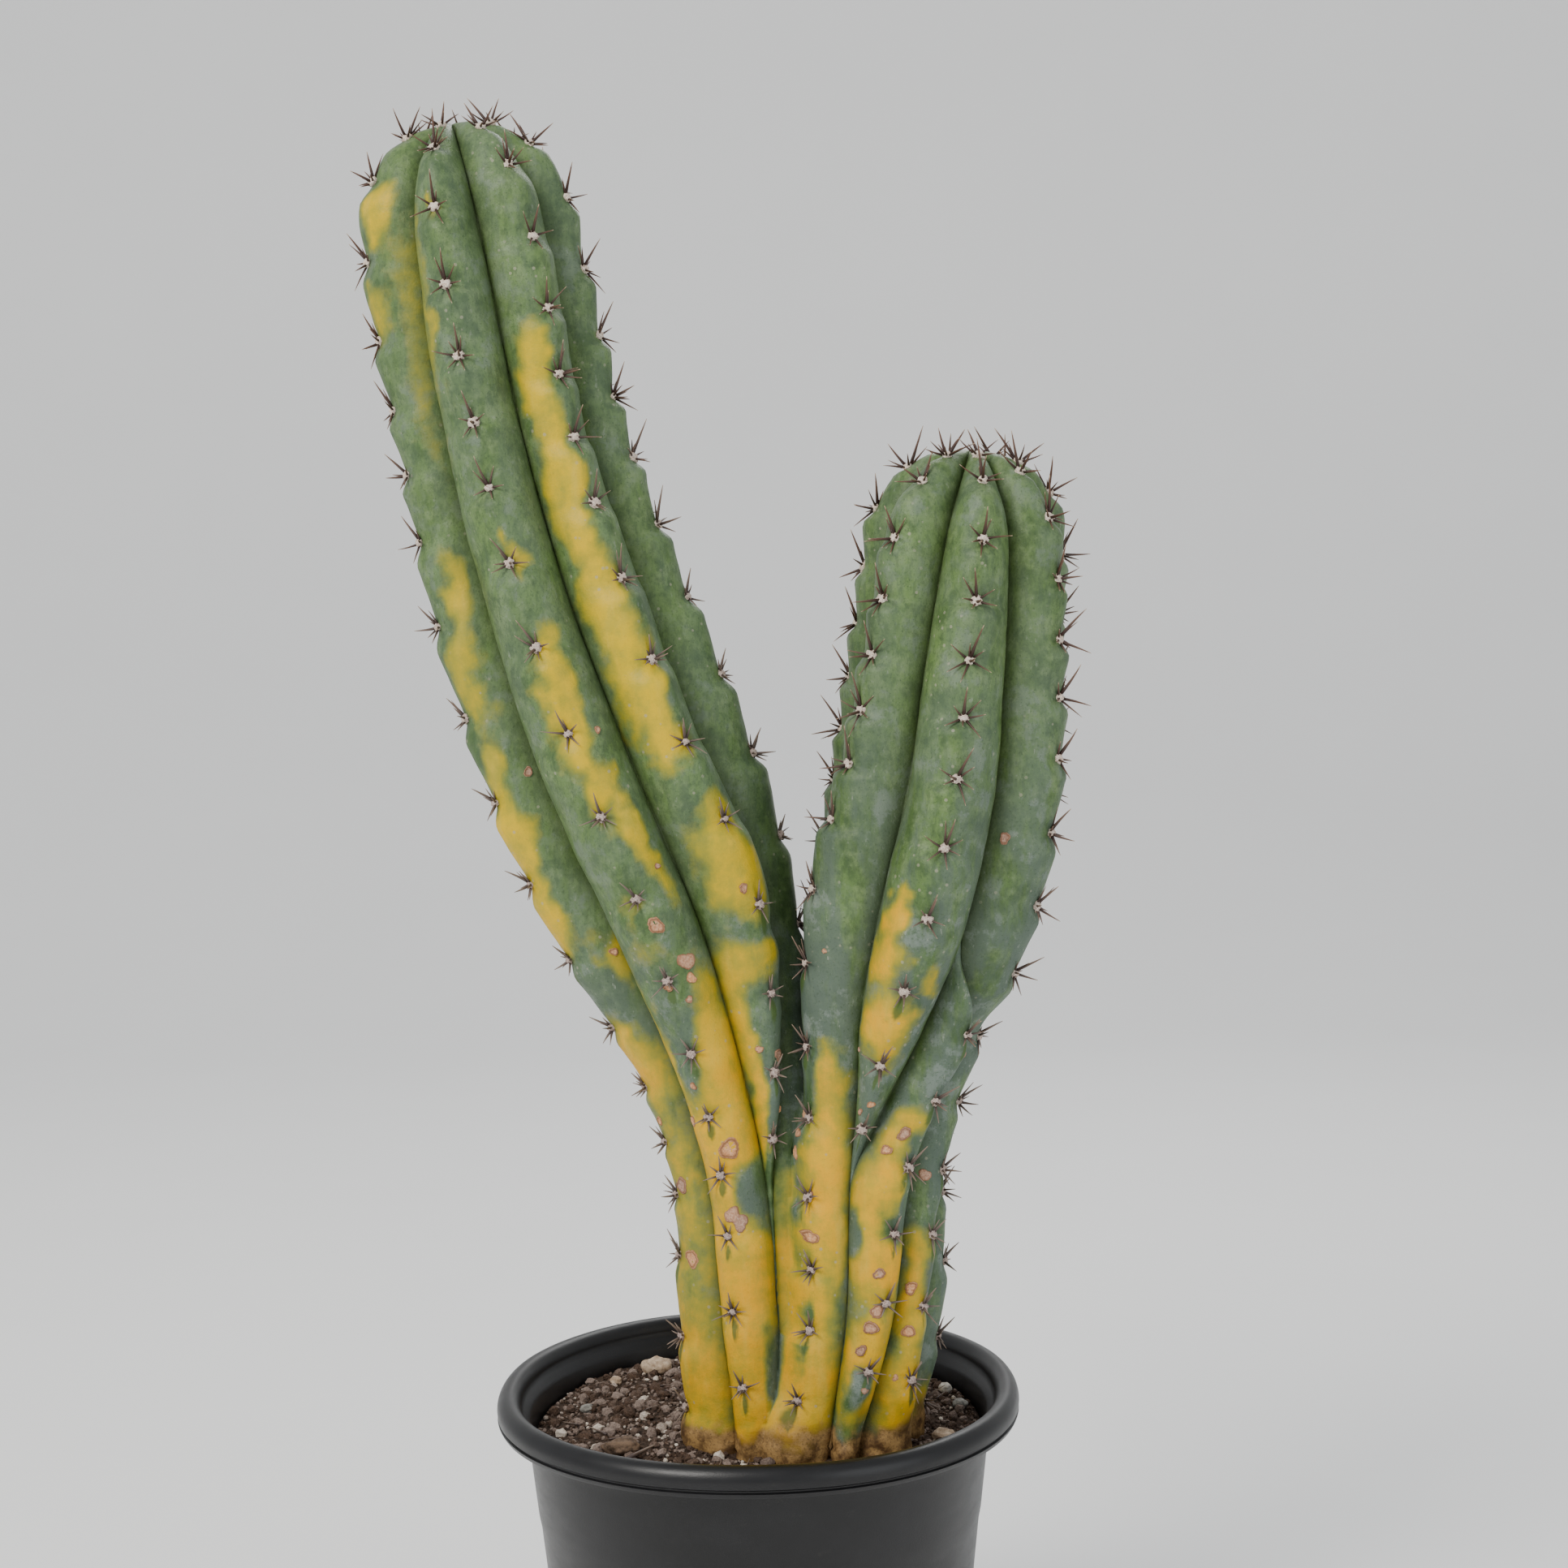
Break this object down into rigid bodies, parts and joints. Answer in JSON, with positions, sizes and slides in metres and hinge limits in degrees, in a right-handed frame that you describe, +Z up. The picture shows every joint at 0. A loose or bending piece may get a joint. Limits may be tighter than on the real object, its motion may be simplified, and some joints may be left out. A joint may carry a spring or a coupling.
{
  "type": "potted columnar cactus",
  "caption": "Tall columnar cactus with fused leaning stems, green and yellow ribs and spine clusters, growing in gritty soil in a round black nursery pot.",
  "frame": {"origin": "centre of the pot's flat underside, on the surface it stands on", "axes": "+Z up; -Y is the front, from which the taller stem leans to the left (-X) and the shorter stem stands on the right (+X)"},
  "size_m": [0.3649, 0.26, 0.835],
  "materials": {
    "pot_plastic": "satin",
    "potting_mix": "matte",
    "cactus_skin": "satin",
    "spine_wood": "matte",
    "areole_wool": "matte",
    "cork_scar": "matte",
    "tan_stone": "matte",
    "grey_stone": "matte",
    "white_stone": "matte",
    "bark": "matte"
  },
  "bodies": {
    "root": {"areole_left_1_01": "spine_wood", "areole_left_1_02": "spine_wood", "areole_left_1_03": "spine_wood", "areole_left_1_04": "spine_wood", "areole_left_1_05": "spine_wood", "areole_left_1_06": "spine_wood", "areole_left_1_07": "spine_wood", "areole_left_1_08": "spine_wood", "areole_left_1_09": "spine_wood", "areole_left_1_10": "spine_wood", "areole_left_1_11": "spine_wood", "areole_left_1_12": "spine_wood", "areole_left_1_13": "spine_wood", "areole_left_1_14": "spine_wood", "areole_left_1_15": "spine_wood", "areole_left_1_16": "spine_wood", "areole_left_4_01": "spine_wood", "areole_left_4_02": "spine_wood", "areole_left_4_03": "spine_wood", "areole_left_4_04": "spine_wood", "areole_left_4_05": "spine_wood", "areole_left_4_06": "spine_wood", "areole_left_4_07": "spine_wood", "areole_left_4_08": "spine_wood", "areole_left_4_09": "spine_wood", "areole_left_4_10": "spine_wood", "areole_right_1_01": "spine_wood", "areole_right_1_02": "spine_wood", "areole_right_1_03": "spine_wood", "areole_right_1_04": "spine_wood", "areole_right_1_05": "spine_wood", "areole_right_1_06": "spine_wood", "areole_right_1_07": "spine_wood", "areole_right_1_08": "spine_wood", "areole_right_4_02": "spine_wood", "areole_right_4_03": "spine_wood", "areole_right_4_04": "spine_wood", "areole_right_4_05": "spine_wood", "areole_right_4_06": "spine_wood", "areole_right_4_07": "spine_wood", "areole_right_4_08": "spine_wood", "areole_right_4_09": "spine_wood", "areole_right_4_10": "spine_wood", "bark_chunk": "bark", "buff_stone": "tan_stone", "cactus_stems": "cactus_skin", "green_grey_stone": "grey_stone", "grey_pebble": "grey_stone", "nursery_pot": "pot_plastic", "pale_chip": "white_stone", "potting_soil": "potting_mix", "tan_chunk": "tan_stone", "tan_stone": "tan_stone", "white_pebble_a": "white_stone", "white_pebble_b": "white_stone", "white_stone": "white_stone"}
  },
  "joints": []
}
